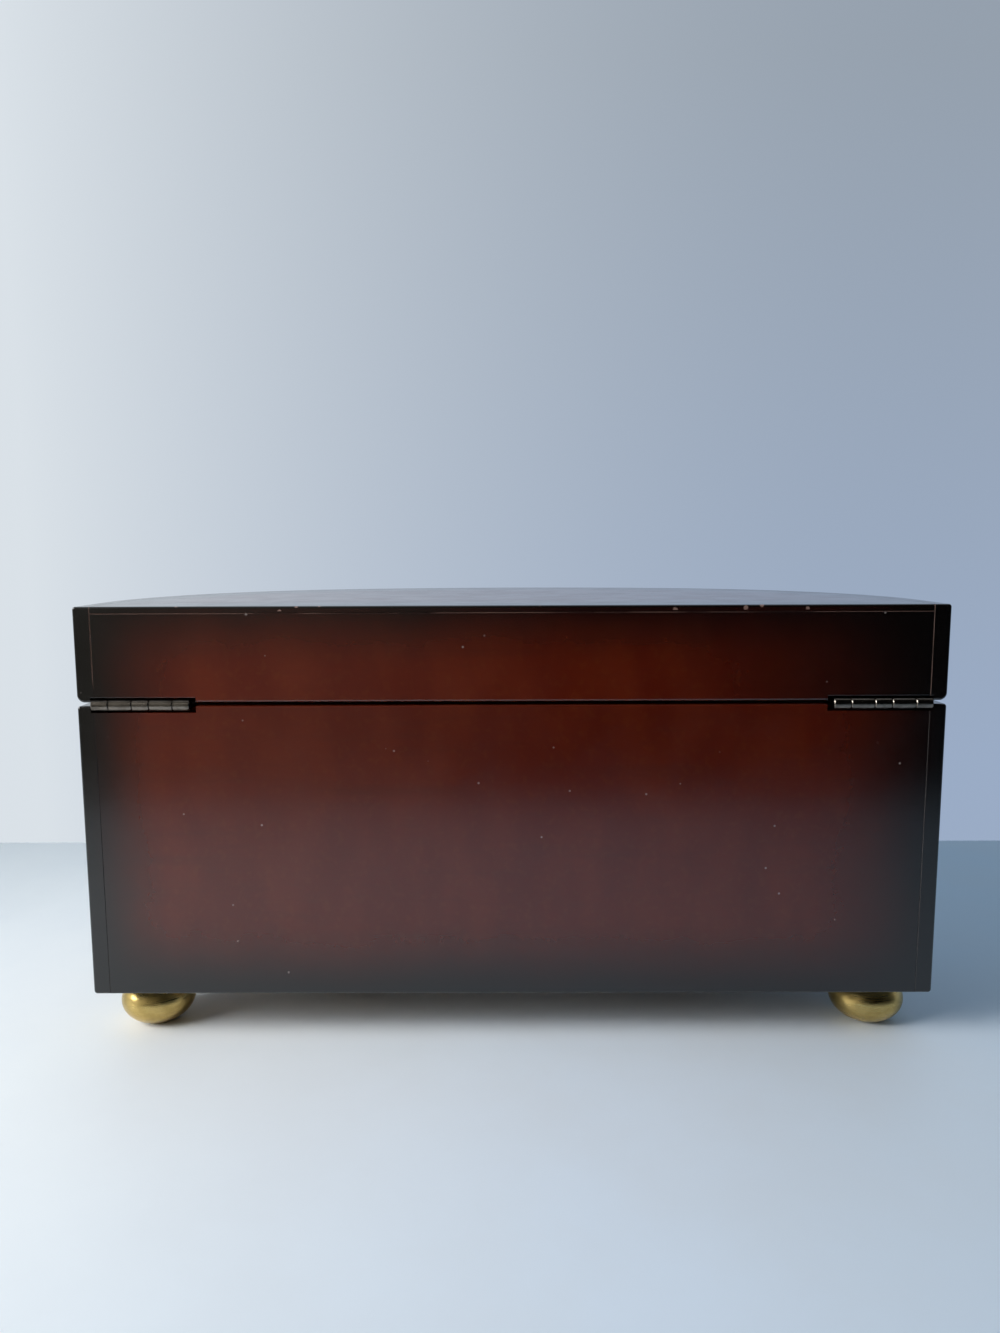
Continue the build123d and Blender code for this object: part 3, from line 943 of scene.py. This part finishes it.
def flat_sheet(name, corners, material):
    """One large flat face of the surroundings."""
    data = bpy.data.meshes.new(name)
    data.from_pydata(corners, [], [(0, 1, 2, 3)])
    data.materials.append(material)
    made = bpy.data.objects.new(name, data)
    bpy.context.scene.collection.objects.link(made)
    return made


def upright_corners(y, reach):
    return [(-reach, y, 0), (reach, y, 0), (reach, y, reach), (-reach, y, reach)]


def make_floor():
    """Pale floor with a faint mottle, and painted light: brighter on the left, darker and bluer on the
    right.
    """
    s = Shader("pale_floor")
    mottle = s.noise(60 * mm, 4, 0.6)
    x = s.axes()[0]
    # Painted light: the window's light falls off from left to right across the floor
    tone = s.mix(s.step_even(x, *floor_turn_left), floor_left, floor_middle)
    tone = s.mix(s.step_even(x, *floor_turn_right), tone, floor_right)
    tone = s.mix(s.step(mottle, 0.3, 0.7, 0.0, 0.25), tone, floor_grey)
    s.set(Base_Color=tone, Roughness=0.5)
    reach = stage_reach
    corners = [(-reach, -reach, 0), (reach, -reach, 0), (reach, reach, 0), (-reach, reach, 0)]
    flat_sheet("floor", corners, s.material)


def make_backdrop():
    """A wall that shines by itself, its glow painted light bright on the left and dim on the right, clear
    when it's seen from its other side.
    """
    s = Shader("pale_wall")
    x, _, z = s.axes()
    # Painted light: the glow falls off from the window side on the left, and is bluer low on the right
    across = s.step_even(x, -wall_reach, wall_reach, 1.0, 0.0)
    far_side = s.mix(s.step_even(z, wall_blue_top, wall_blue_full), wall_dim, wall_blue)
    tone = s.mix(s.math("MULTIPLY", across, across), far_side, wall_bright)
    clear = s.node("BsdfTransparent").outputs[0]
    behind = s.node("NewGeometry").outputs["Backfacing"]
    s.finish_with(s.node("MixShader", {0: behind, 1: s.shine(tone), 2: clear}).outputs[0])
    backdrop = flat_sheet("backdrop", upright_corners(wall_y, stage_reach), s.material)
    backdrop.visible_shadow = False
    backdrop.visible_diffuse = False


def make_room():
    """The dim room on the camera's side. It isn't seen itself and casts no shadow."""
    s = Shader("room_behind")
    share = s.step(s.axes()[0], room_edge - room_blend, room_edge + room_blend)
    s.finish_with(s.shine(s.mix(share, room_bright, room_dark)))
    room = flat_sheet("room_behind", upright_corners(room_y, room_reach), s.material)
    room.visible_camera = False
    room.visible_shadow = False


def area_light(name, place, target, size, power, colour):
    data = bpy.data.lights.new(name, "AREA")
    data.shape = "RECTANGLE"
    data.size, data.size_y = size
    data.energy = power
    data.color = colour
    lamp = bpy.data.objects.new(name, data)
    lamp.location = place
    lamp.rotation_mode = "QUATERNION"
    lamp.rotation_quaternion = (Vector(target) - Vector(place)).to_track_quat("-Z", "Y")
    bpy.context.scene.collection.objects.link(lamp)
    return lamp


def make_lamps():
    window = area_light("window", window_place, window_target, window_size, window_power, window_tint)
    window.data.spread = window_spread
    area_light("fill", fill_place, fill_target, fill_size, fill_power, fill_tint)


def make_world():
    """Blue light from all round, and a paler tone where the surroundings are seen or mirrored."""
    world = bpy.data.worlds.new("room")
    bpy.context.scene.world = world
    world.use_nodes = True
    tree = world.node_tree
    tree.nodes.clear()
    out = tree.nodes.new("ShaderNodeOutputWorld")
    path = tree.nodes.new("ShaderNodeLightPath")
    mix = tree.nodes.new("ShaderNodeMixShader")
    tones = [(1, ambient_tint, ambient_strength), (2, surroundings_tint, surroundings_strength)]
    for place, tint, strength in tones:
        background = tree.nodes.new("ShaderNodeBackground")
        background.inputs[0].default_value = (*tint, 1)
        background.inputs[1].default_value = strength
        tree.links.new(background.outputs[0], mix.inputs[place])
    seen = path.outputs["Is Camera Ray"]
    for kind in ("Is Glossy Ray", "Is Transmission Ray"):
        either = tree.nodes.new("ShaderNodeMath")
        either.operation = "MAXIMUM"
        tree.links.new(seen, either.inputs[0])
        tree.links.new(path.outputs[kind], either.inputs[1])
        seen = either.outputs[0]
    tree.links.new(seen, mix.inputs[0])
    tree.links.new(mix.outputs[0], out.inputs[0])


def make_camera():
    """The photograph's camera, turned by its yaw, pitch and roll."""
    data = bpy.data.cameras.new("camera")
    data.sensor_width = sensor_width
    data.lens = focal_pixels * sensor_width / picture_height
    data.clip_start = camera_near
    level = Vector((math.sin(camera_yaw), math.cos(camera_yaw), 0))
    right = Vector((math.cos(camera_yaw), -math.sin(camera_yaw), 0))
    ahead = level * math.cos(camera_pitch) - Vector((0, 0, 1)) * math.sin(camera_pitch)
    up = level * math.sin(camera_pitch) + Vector((0, 0, 1)) * math.cos(camera_pitch)
    rolled_right = right * math.cos(camera_roll) + up * math.sin(camera_roll)
    rolled_up = up * math.cos(camera_roll) - right * math.sin(camera_roll)
    place = Vector((camera_x, back_y - camera_setback, lid_top_z + camera_rise))
    turned = Matrix((rolled_right, rolled_up, -ahead)).transposed().to_4x4()
    camera = bpy.data.objects.new("camera", data)
    camera.matrix_world = Matrix.Translation(place) @ turned
    bpy.context.scene.collection.objects.link(camera)
    bpy.context.scene.camera = camera


make_camera()
paint_nodes()
make_feet()
make_lid_top()
make_linings()
make_dividers()
make_floor_pad()
make_tray()
make_ring_rolls()
make_mirror_surround()
make_pulls()
make_bumpers()
make_floor()
make_backdrop()
make_room()
make_lamps()
make_world()
bpy.context.scene.view_settings.view_transform = "Standard"
